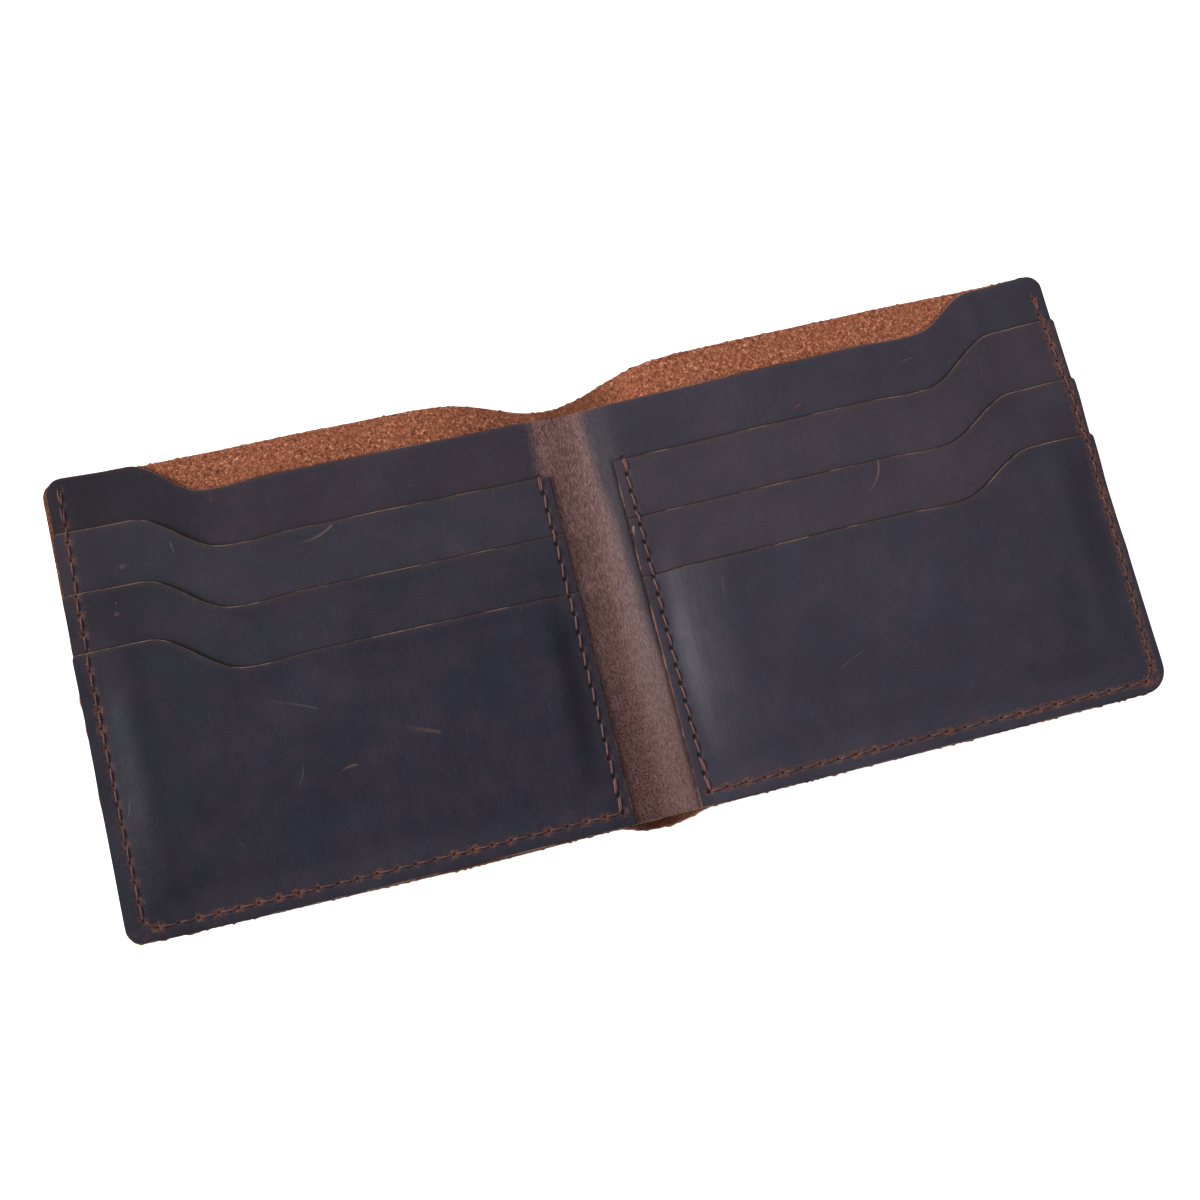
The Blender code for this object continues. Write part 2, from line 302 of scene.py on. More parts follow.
def round_corner(end, radius, steps=10):
    """Columns over a rounded corner, closing up towards the end."""
    return end - radius * (1 - np.sin(pi / 2 * np.arange(1, steps + 1) / steps))


def corner_inset(u, end, radius):
    into = np.clip(u - (end - radius), 0, radius)
    return radius - np.sqrt(np.maximum(radius**2 - into**2, 0))


def outline(s, v):
    """The grid's border, anticlockwise, as index pairs, with each point's outward direction."""
    columns, rows = s.shape
    last, top = columns - 1, rows - 1
    ring = [(i, 0) for i in range(last)]
    ring += [(last, j) for j in range(top)]
    ring += [(i, top) for i in range(last, 0, -1)]
    ring += [(0, j) for j in range(top, 0, -1)]
    i, j = np.array(ring).T
    points = np.stack([s[i, j], v[i, j]], axis=-1)
    along = np.roll(points, -1, axis=0) - np.roll(points, 1, axis=0)
    outward = np.stack([along[:, 1], -along[:, 0]], axis=-1)
    return i, j, outward / np.linalg.norm(outward, axis=1, keepdims=True)


def tangents(points):
    """Unit directions across and up the sheet, and its normal, at each grid point."""
    across = np.gradient(points, axis=0)
    up = np.gradient(points, axis=1)
    normal = np.cross(across, up)
    return [w / np.linalg.norm(w, axis=-1, keepdims=True) for w in (across, up, normal)]


def leather(name, layer, s, v, suede_side, thickness, offset, materials, fuzz, seed):
    """A closed sheet over the grid (s, v). suede_side holds the points of its suede side, the grain
    side lies thickness away (offset 1 above, -1 below), and the cut edges between are rounded."""
    columns, rows = s.shape
    across, up, normal = tangents(suede_side)
    grain_side = suede_side + offset * normal * thickness[..., None]
    i, j, outward = outline(s, v)
    rng = np.random.default_rng(seed)
    rough = fuzz * rng.uniform(-0.4, 1.0, len(i)) ** 3
    sideways = outward[:, :1] * across[i, j] + outward[:, 1:] * up[i, j]
    depth = grain_side[i, j] - suede_side[i, j]
    profile = ((0.62, 0.05), (1.0, 0.28), (1.0, 0.72), (0.62, 0.95))
    rings = []
    for out, share in profile:
        reach = EDGE_RADIUS * out + rough * (1 if share < 0.5 else 0.5)
        rings.append(suede_side[i, j] + sideways * reach[:, None] + depth * share)
    count = columns * rows
    points = np.concatenate([suede_side.reshape(-1, 3), grain_side.reshape(-1, 3), *rings])

    index = np.arange(count).reshape(columns, rows)
    quads = [index[:-1, :-1], index[1:, :-1], index[1:, 1:], index[:-1, 1:]]
    up_faces = np.stack(quads, axis=-1).reshape(-1, 4)
    sides = (up_faces[:, ::-1], up_faces + count) if offset > 0 else (up_faces, up_faces[:, ::-1] + count)
    border = index[i, j]
    around = len(border)
    loops = [border, *[2 * count + k * around + np.arange(around) for k in range(len(profile))]]
    loops.append(border + count)
    rim = []
    for a, b in zip(loops, loops[1:]):
        band = np.stack([a, np.roll(a, -1), np.roll(b, -1), b], axis=-1)
        rim.append(band if offset > 0 else band[:, ::-1])
    faces = np.concatenate([*sides, *rim])
    material = np.concatenate(
        [np.full(len(sides[0]), 2), np.zeros(len(sides[1]), int), np.ones(around * len(rim), int)]
    )

    obj = mesh_object(name, points, faces, materials)
    obj.data.polygons.foreach_set("material_index", material.astype(np.int32))
    for uv_map, flat in (("leather", np.stack([s, v], axis=-1)), ("edges", edge_distances(layer, s, v))):
        rim_flat = flat[i, j] + (outward * EDGE_RADIUS if uv_map == "leather" else 0)
        add_uv(obj, uv_map, np.concatenate([flat.reshape(-1, 2)] * 2 + [rim_flat] * len(profile)))
    return obj


def mesh_object(name, points, faces, materials):
    mesh = bpy.data.meshes.new(name)
    mesh.vertices.add(len(points))
    mesh.vertices.foreach_set("co", np.asarray(points, np.float32).ravel())
    corners = [len(face) for face in faces]
    starts = np.concatenate([[0], np.cumsum(corners)[:-1]])
    mesh.loops.add(sum(corners))
    mesh.loops.foreach_set("vertex_index", np.concatenate([np.asarray(f) for f in faces]).astype(np.int32))
    mesh.polygons.add(len(corners))
    mesh.polygons.foreach_set("loop_start", starts.astype(np.int32))
    mesh.polygons.foreach_set("use_smooth", np.ones(len(corners), bool))
    mesh.update(calc_edges=True)
    mesh.validate()
    for material in materials:
        mesh.materials.append(material)
    obj = bpy.data.objects.new(name, mesh)
    bpy.context.scene.collection.objects.link(obj)
    return obj


def add_uv(obj, name, values):
    """A UV map from a pair of values for each vertex."""
    mesh = obj.data
    index = np.empty(len(mesh.loops), np.int32)
    mesh.loops.foreach_get("vertex_index", index)
    layer = mesh.uv_layers.new(name=name)
    layer.data.foreach_set("uv", np.asarray(values, np.float32)[index].ravel())


def cut_from(s, v):
    """Works out the border of the flat sheet a piece was cut from, and does nothing with it."""
    i, j, _ = outline(s, v)


def pocket_grid(side, kind):
    """The grid of one pocket's outline: evenly spaced rows at the shown edge, and below them rows
    that stretch down to the foot."""
    end = POCKET_ENDS[side][kind] - EDGE_RADIUS
    radius = LOW_CORNERS[side] if kind == "front" else BAR_CORNER
    start = PANEL_STARTS[side] + EDGE_RADIUS
    seams = (SEAM_INNER[side], SEAM_OUTER[side][0])
    fine = [(line, 0.0016, 0.0004) for line in seams] + [(start, 0.0004, 0.0003)]
    columns = np.concatenate([stations(start, end - radius, 0.001, fine), round_corner(end, radius)])
    s = side * columns
    top = top_edge(kind, s) - EDGE_RADIUS - corner_inset(columns, end, BAR_CORNER)
    if kind == "front":
        low = EDGE_RADIUS + bottom_edge(s) + corner_inset(columns, end, radius)
    else:
        stem = ease((columns - STEM_START) / STEM_SLANT) * ease((STEM_END - columns) / STEM_SLANT)
        bar = top_edge(LYING_ON[kind], s) - BAR_OVERLAP
        low = bar + (FEET[kind] - bar) * stem
    reach = 0.0148
    shown = np.concatenate([[0, 0.0003], stations(0.0008, reach, 0.0005)])
    hidden = stations(0, 1, 1 / 70 if kind == "front" else 1 / 20)[1:]
    depth = np.concatenate([shown, [reach] * len(hidden)])
    share = np.concatenate([np.zeros(len(shown)), hidden])
    v = top[:, None] - depth - (top[:, None] - reach - low[:, None]) * share
    v = v[:, ::-1]
    s = np.broadcast_to(s[:, None], v.shape)
    return (s, v) if side > 0 else (s[::-1], v[::-1])


def pocket(side, kind, materials):
    s, v = pocket_grid(side, kind)
    suede_side = place(s, v, pocket_back(kind, s, v))
    thickness = POCKET_THICKNESS - groove(side, np.abs(s), v)
    name = f"{kind}_pocket_{HANDS[side]}"
    seed = len(name) + side
    obj = leather(f"{name}_leather", kind, s, v, suede_side, thickness, 1, materials, fuzz=0.00005, seed=seed)
    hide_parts(name)
    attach(obj, f"{HANDS[side]}_half")
    cut_from(s, v)


def liner(materials):
    end = LINER_END - EDGE_RADIUS
    radius = max(LOW_CORNERS.values()) - EDGE_RADIUS
    fine = [(0.1100, 0.0018, 0.0004), (0.0, 0.0105, 0.0005)]
    half = np.concatenate([stations(0, end - radius, 0.0011, fine), round_corner(end, radius)])
    columns = np.concatenate([-half[:0:-1], half])
    u = np.abs(columns)
    top = top_edge("liner", columns) - EDGE_RADIUS - corner_inset(u, end, TOP_CORNER)
    low = EDGE_RADIUS + bottom_edge(columns) + corner_inset(u, end, by_side(columns, LOW_CORNERS))
    share = np.concatenate([stations(0, 0.6, 1 / 60)[:-1], stations(0.6, 1, 1 / 170)])
    v = low[:, None] + (top - low)[:, None] * share
    s = np.broadcast_to(columns[:, None], v.shape)
    suede_side = place(s, v, liner_back(s, v))
    thickness = LINER_THICKNESS - both_grooves(s, v)
    obj = leather("liner", "liner", s, v, suede_side, thickness, 1, materials, fuzz=0.00006, seed=5)
    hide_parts("liner_left", "liner_right")
    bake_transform(obj)
    cut_from(s, v)


def outer_cover(materials):
    radius = max(LOW_CORNERS.values()) - EDGE_RADIUS
    halves = []
    for side in HANDS:
        end = COVER_ENDS[side] - EDGE_RADIUS
        half = np.concatenate([stations(0, end - radius, 0.0006), round_corner(end, radius)])
        halves.append(side * half)
    columns = np.concatenate([halves[0][:0:-1], halves[1]])
    u = np.abs(columns)
    end = by_side(columns, COVER_ENDS) - EDGE_RADIUS
    top = top_edge("cover", columns) - EDGE_RADIUS - corner_inset(u, end, TOP_CORNER)
    proud = 0.0004 * np.exp(-(((columns + 0.040) / 0.022) ** 2))
    low = EDGE_RADIUS + bottom_edge(columns) - proud + corner_inset(u, end, by_side(columns, LOW_CORNERS))
    share = stations(0, 1, 1 / 40, [(0.026, 0.018, 1 / 200), (0, 0.006, 1 / 300), (1, 0.012, 1 / 300)])
    v = low[:, None] + (top - low)[:, None] * share
    s = np.broadcast_to(columns[:, None], v.shape)
    thickness = COVER_THICKNESS - both_grooves(s, v) * (np.abs(s) > 0.013)
    inside = cover_inside(s, v)
    obj = leather("outer_cover", "cover", s, v, inside, thickness, -1, materials, fuzz=0.00034, seed=9)
    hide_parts("outer_cover_left", "outer_cover_right")
    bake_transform(obj)
    cut_from(s, v)


# ---------------------------------------- thread
def face_height(side, u, v):
    """Height of the topmost layer at (u, v) of one half."""
    s = side * u
    height = liner_face(s, v)
    for kind in POCKETS:
        under = v < top_edge(kind, s) + 0.0002
        height = np.where(under, pocket_back(kind, s, v) + POCKET_THICKNESS, height)
    return height


def stitch_line(points, steps=14, slant=0.0):
    """(u, v, share) along the stitches between holes: share runs from -1 to 1 along each stitch, and
    each stitch leans across the seam by slant."""
    line = []
    for a, b in zip(points, points[1:]):
        share = np.linspace(-1, 1, steps, endpoint=False)
        along = (b - a) / np.linalg.norm(b - a)
        across = np.array([-along[1], along[0]])
        place_on = a + (b - a) * (share[:, None] + 1) / 2 + across * slant * share[:, None]
        line.append(np.column_stack([place_on, share]))
    return np.concatenate(line + [[[*points[-1], 1]]])


def tube(points, radius, twist=0.0017):
    """A twisted thread of three plies along points, as one closed tube: its points, its faces, and how
    far out on a ply each point lies, from 0 to 1."""
    sides = 12
    along = np.gradient(points, axis=0)
    lengths = np.linalg.norm(along, axis=1)
    along /= lengths[:, None]
    side = np.cross(along, (0, 1e-3, 1))
    side /= np.linalg.norm(side, axis=1, keepdims=True)
    over = np.cross(side, along)
    turn = np.cumsum(lengths) / twist * tau
    angle = tau * np.arange(sides) / sides
    ply = np.cos(3 * (angle[None, :] - turn[:, None]))
    reach = radius * (1 + 0.26 * ply)
    ring = side[:, None] * (np.cos(angle)[None, :] * reach)[..., None]
    ring = ring + over[:, None] * (np.sin(angle)[None, :] * reach)[..., None]
    verts = (points[:, None] + ring).reshape(-1, 3)
    faces = []
    for i in range(len(points) - 1):
        for k in range(sides):
            n = (k + 1) % sides
            faces.append((i * sides + k, i * sides + n, (i + 1) * sides + n, (i + 1) * sides + k))
    faces.append(tuple(range(sides))[::-1])
    faces.append(tuple((len(points) - 1) * sides + k for k in range(sides)))
    return verts, faces, (1 + ply.ravel()) / 2


def thread_object(name, side, runs, radius, material):
    """One thread object from several runs, each the points and their shares along the stitch."""
    verts, faces, looks, count = [], [], [], 0
    for points, share in runs:
        new, quads, ply = tube(points, radius)
        verts.append(new)
        faces += [tuple(k + count for k in face) for face in quads]
        looks.append(np.column_stack([np.repeat(np.abs(share), len(new) // len(points)), ply]))
        count += len(new)
    obj = mesh_object(f"{name}_strand", np.concatenate(verts), faces, [material])
    add_uv(obj, "stitch", np.concatenate(looks))
    make_outward(obj)
    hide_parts(name)
    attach(obj, f"{HANDS[side]}_half")


def make_outward(obj):
    bm = bmesh.new()
    bm.from_mesh(obj.data)
    bmesh.ops.recalc_face_normals(bm, faces=bm.faces)
    bm.to_mesh(obj.data)
    bm.free()


def on_face(side, points, radius, slant, proud=0.45):
    """A needle thread: over the face between holes, and down into the leather at each of them."""
    u, v, share = stitch_line(points, slant=slant).T
    h = face_height(side, u, v) + radius * proud - STITCH_DIVE * np.abs(share) ** 3
    return place(side * u, v, h), share


def on_back(side, points, radius, back, slant):
    """A bobbin thread under a sheet, up into it at each hole."""
    u, v, share = stitch_line(points, slant=slant).T
    sink = np.abs(share) ** 5
    points, normal = back(side * u, v)
    return points - normal * (radius * 0.5 - 0.0006 * sink)[:, None], share


def cover_back(s, v):
    """The cover's outside at (s, v), and its upward normal, from the slope of its inside."""
    step = 1e-4
    here = cover_inside(s, v)
    across = cover_inside(s + step, v) - cover_inside(s - step, v)
    up = cover_inside(s, v + step) - cover_inside(s, v - step)
    normal = np.cross(across, up)
    normal /= np.linalg.norm(normal, axis=-1, keepdims=True)
    return here - normal * COVER_THICKNESS, normal


def liner_underside(s, v):
    points = place(s, v, liner_back(s, v))
    normal = np.stack(np.broadcast_arrays(-np.sign(s) * sin(OPEN_TILT), 0 * s, cos(OPEN_TILT)), axis=-1)
    return points, normal


def edge_seam(side, material):
    hand = HANDS[side]
    edge, _ = seam_holes(side)
    runs = [on_face(side, edge, EDGE_THREAD, 0.00010)]
    back_stitch = edge[:3] + np.array([0.00042, 0.0004])
    runs.append(on_face(side, back_stitch, EDGE_THREAD, -0.00010, proud=0.75))
    thread_object(f"edge_seam_needle_thread_{hand}", side, runs, EDGE_THREAD, material)
    below = np.array([point for point in edge if point[0] > 0.0135])
    runs = [on_back(side, below, EDGE_THREAD, cover_back, 0.0001)]
    thread_object(f"edge_seam_bobbin_thread_{hand}", side, runs, EDGE_THREAD, material)


def inner_seam(side, material):
    hand = HANDS[side]
    _, inner = seam_holes(side)
    runs = [on_face(side, inner, INNER_THREAD, 0.00024, proud=0.7)]
    for ends, shift in ((inner[:2], (0.00034, 0.0002)), (inner[-3:], (0.00032, -0.0003))):
        runs.append(on_face(side, ends + np.array(shift), INNER_THREAD, 0.00020, proud=0.7))
    thread_object(f"inner_seam_needle_thread_{hand}", side, runs, INNER_THREAD, material)
    runs = [on_back(side, inner[:-1], EDGE_THREAD, liner_underside, 0.0001)]
    thread_object(f"inner_seam_bobbin_thread_{hand}", side, runs, EDGE_THREAD, material)


def foot_seam(side, kind, material):
    """The stitches along the foot of a T pocket's stem, in the space beside its cut edge."""
    u = holes(STEM_START + 2 * PITCH, STEM_END - 2 * PITCH)
    line = np.column_stack([u, np.full(len(u), FEET[kind] - 0.0007)])
    u, v, share = stitch_line(line).T
    h = liner_face(side * u, v) + 0.0003 - 0.0005 * np.abs(share) ** 5
    name = f"{kind}_pocket_foot_seam_{HANDS[side]}"
    thread_object(name, side, [(place(side * u, v, h), share)], FOOT_THREAD, material)


# ---------------------------------------- materials
SHEEN = 0.22
NEAR_BLACK = (0.004, 0.004, 0.007)
# each piece's tint: partly its own tone, and partly painted light, with the right half lighter
# than the left and the pockets higher up lighter than the front ones
TINTS_WITH_PAINTED_LIGHT = {
    "cover": (0.0240, 0.0200, 0.0290),
    "liner_left": (0.0250, 0.0180, 0.0310),
    "liner_right": (0.0302, 0.0258, 0.0412),
    "rear_left": (0.0260, 0.0236, 0.0372),
    "middle_left": (0.0200, 0.0185, 0.0306),
    "front_left": (0.0160, 0.0152, 0.0286),
    "rear_right": (0.0390, 0.0300, 0.0440),
    "middle_right": (0.0395, 0.0300, 0.0440),
    "front_right": (0.0292, 0.0268, 0.0420),
}


class Graph:
    """Short calls for building one material's nodes."""

    def __init__(self, name):
        self.material = bpy.data.materials.new(name)
        self.material.use_nodes = True
        self.tree = self.material.node_tree
        self.shader = self.tree.nodes["Principled BSDF"]

    def add(self, kind, inputs, **settings):
        node = self.tree.nodes.new(kind)
        for key, value in settings.items():
            setattr(node, key, value)
        for key, value in inputs.items():
            self.feed(node.inputs[key], value)
        return node

    def feed(self, socket, value):
        if isinstance(value, bpy.types.NodeSocket):
            self.tree.links.new(value, socket)
        else:
            socket.default_value = value

    def math(self, operation, *values):
        return self.add("ShaderNodeMath", dict(enumerate(values)), operation=operation).outputs[0]

    def plus(self, a, b):
        return self.math("ADD", a, b)

    def minus(self, a, b):
        return self.math("SUBTRACT", a, b)

    def size_of(self, value):
        return self.math("ABSOLUTE", value)

    def times(self, *values):
        product = values[0]
        for value in values[1:]:
            product = self.math("MULTIPLY", product, value)
        return product

    def most(self, *values):
        top = values[0]
        for value in values[1:]:
            top = self.math("MAXIMUM", top, value)
        return top

    def fade(self, value, low, high, a=0.0, b=1.0):
        """a below low, b above high, smooth between. low may be above high, to fade the other way."""
        if low > high:
            low, high, a, b = high, low, b, a
        inputs = {"Value": value, "From Min": low, "From Max": high, "To Min": a, "To Max": b}
        return self.add("ShaderNodeMapRange", inputs, interpolation_type="SMOOTHSTEP").outputs[0]

    def map(self, name):
        """A UV map in millimetres, as a vector and as its two parts."""
        uv = self.add("ShaderNodeUVMap", {}, uv_map=name).outputs[0]
        scaled = self.add("ShaderNodeVectorMath", {0: uv, 1: (1000, 1000, 1000)}, operation="MULTIPLY")
        parts = self.add("ShaderNodeSeparateXYZ", {0: scaled.outputs[0]})
        return scaled.outputs[0], parts.outputs[0], parts.outputs[1]

    def piece_space(self, extent):
        """Coordinates fixed to the piece, in millimetres if extent is the size of its box."""
        share = self.add("ShaderNodeTexCoord", {}).outputs["Generated"]
        return self.add("ShaderNodeVectorMath", {0: share, 1: extent}, operation="MULTIPLY").outputs[0]

    def stretch(self, vector, across, up, shift=0.0):
        inputs = {"Vector": vector, "Scale": (across, up, 1), "Location": (shift, shift, shift)}
        return self.add("ShaderNodeMapping", inputs).outputs[0]

    def noise(self, vector, size, detail=3.0, rough=0.5, bend=0.0):
        """Noise whose features are about size millimetres across."""
        inputs = {"Vector": vector, "Scale": 1 / size, "Detail": detail, "Roughness": rough}
        inputs["Distortion"] = bend
        return self.add("ShaderNodeTexNoise", inputs).outputs[0]

    def cells(self, vector, size, feature="F1"):
        inputs = {"Vector": vector, "Scale": 1 / size}
        return self.add("ShaderNodeTexVoronoi", inputs, feature=feature)

    def chance(self, value):
        """A random number from 0 to 1 for each whole value."""
        node = self.add("ShaderNodeTexWhiteNoise", {"W": value}, noise_dimensions="1D")
        return node.outputs[0]

    def mix(self, share, a, b):
        """a where share is 0, b where it is 1. a and b are colours."""
        node = self.add("ShaderNodeMix", {}, data_type="RGBA")
        for index, value in ((0, share), (6, a), (7, b)):
            if isinstance(value, tuple):
                value = (*value, 1)
            self.feed(node.inputs[index], value)
        return node.outputs[2]

    def bump(self, height, distance, normal=None):
        inputs = {"Height": height, "Distance": distance}
        if normal is not None:
            inputs["Normal"] = normal
        return self.add("ShaderNodeBump", inputs).outputs[0]

    def finish(self, **inputs):
        for key, value in inputs.items():
            if isinstance(value, tuple):
                value = (*value, 1)
            self.feed(self.shader.inputs[key.replace("_", " ")], value)
        return self.material


def scratches(g, vector, size, length, width, share, seed):
    """One slightly bent scratch in some of the cells of a loose net, each at its own angle."""
    moved = g.stretch(vector, 1, 1, seed)
    cell = g.cells(moved, size)
    here = g.add("ShaderNodeVectorMath", {0: moved, 1: cell.outputs["Position"]}, operation="SUBTRACT")
    random = g.add("ShaderNodeSeparateColor", {0: cell.outputs["Color"]})
    inputs = {"Vector": here.outputs[0], "Angle": g.times(random.outputs[0], tau)}
    turned = g.add("ShaderNodeVectorRotate", inputs, rotation_type="Z_AXIS")
    parts = g.add("ShaderNodeSeparateXYZ", {0: turned.outputs[0]})
    wave = g.times(g.minus(g.noise(moved, 9.0, 1.0), 0.5), length * 0.35)
    off = g.size_of(g.plus(parts.outputs[1], wave))
    thin = g.fade(off, width, width * 0.25)
    reach = g.times(random.outputs[2], length)
    short = g.fade(g.minus(g.size_of(parts.outputs[0]), g.times(reach, 0.5)), 0.0, -0.3 * length)
    kept = g.math("LESS_THAN", random.outputs[1], share)
    return g.times(thin, short, kept)


def specks(g, vector, size, radius, share, seed):
    """Dots of a given radius in some cells."""
    cell = g.cells(g.stretch(vector, 1, 1, seed), size)
    random = g.add("ShaderNodeSeparateColor", {0: cell.outputs["Color"]})
    dot = g.fade(g.times(cell.outputs["Distance"], size), radius, radius * 0.4)
    return g.times(dot, g.math("LESS_THAN", random.outputs[1], share))


def scuff_mark(g, across, up, start, end, width, bend, ragged):
    """One scuff from start to end, bowed by bend, fading towards its start, with ragged edges."""
    length = hypot(end[0] - start[0], end[1] - start[1])
    du, dv = (end[0] - start[0]) / length, (end[1] - start[1]) / length
    x, y = g.minus(across, start[0]), g.minus(up, start[1])
    share = g.times(g.plus(g.times(x, du), g.times(y, dv)), 1 / length)
    bowed = g.times(share, g.minus(1.0, share), 4 * bend)
    off = g.size_of(g.minus(g.minus(g.times(y, du), g.times(x, dv)), bowed))
    off = g.plus(off, g.times(g.minus(ragged, 0.5), 1.6 * width))
    along = g.times(g.fade(share, -0.05, 0.9), g.fade(share, 1.06, 0.97))
    return g.times(g.fade(off, width, width * 0.1), along)


def hole_marks(g, vector, along, off, first, last, seed, dark=(0.34, 0.14)):
    """Marks of the holes of one seam, off away from its line: the hole, which gets painted shade, and a
    ragged tear round it that is strong at some holes and hardly there at others."""
    count = max(1, round(abs(last - first) / PITCH))
    pitch = (last - first) * 1000 / count
    step = g.times(g.minus(along, first * 1000), 1 / pitch)
    nearest = g.math("MINIMUM", g.math("MAXIMUM", g.math("ROUND", step), 0.0), float(count))
    along_off = g.times(g.minus(step, nearest), abs(pitch))
    distance = g.math("SQRT", g.plus(g.times(along_off, along_off, 0.6), g.times(off, off)))
    strength = g.chance(g.plus(nearest, seed))
    spread = g.chance(g.plus(nearest, seed + 0.5))
    moved = g.stretch(vector, 1, 1, seed)
    torn = g.noise(moved, 0.36, 3.0, 0.75)
    blotch = g.noise(moved, 0.9, 2.0, 0.6)
    ragged = g.plus(distance, g.plus(g.times(g.minus(torn, 0.5), 2.2), g.times(g.minus(blotch, 0.5), 1.8)))
    tear = g.fade(g.minus(ragged, g.times(spread, 0.5)), 0.85, 0.05)
    return g.times(tear, g.fade(strength, 0.0, 0.8, 0.35, 1.0)), g.fade(distance, *dark)


def seam_marks(g, vector, across, up, side):
    """(tears, holes of the edge seam, holes of the inner seam, distance from the edge seam's outer run,
    distance from its bottom run) on one half."""
    line, bow, middle = (1000 * value for value in SEAM_OUTER[side])
    bowed = g.times(g.minus(up, middle), 1 / 45)
    u = g.times(across, side)
    off = g.minus(u, g.minus(line, g.times(bowed, bowed, bow)))
    under = g.minus(up, SEAM_BOTTOM * 1000)
    beside = g.minus(u, SEAM_INNER[side] * 1000)
    down_tear, down_hole = hole_marks(g, vector, up, off, SEAM_TOPS[side], CORNER_HOLES[side], 3.0)
    along_tear, along_hole = hole_marks(g, vector, u, under, BOTTOM_ENDS[side], SEAM_INNER[side], 70.0)
    inner = INNER_SEAM_TOP, SEAM_BOTTOM, 130.0
    inner_tear, inner_hole = hole_marks(g, vector, up, beside, *inner, dark=(0.60, 0.32))
    tears = g.most(down_tear, along_tear, g.times(inner_tear, 0.25))
    return tears, g.most(down_hole, along_hole), inner_hole, off, under


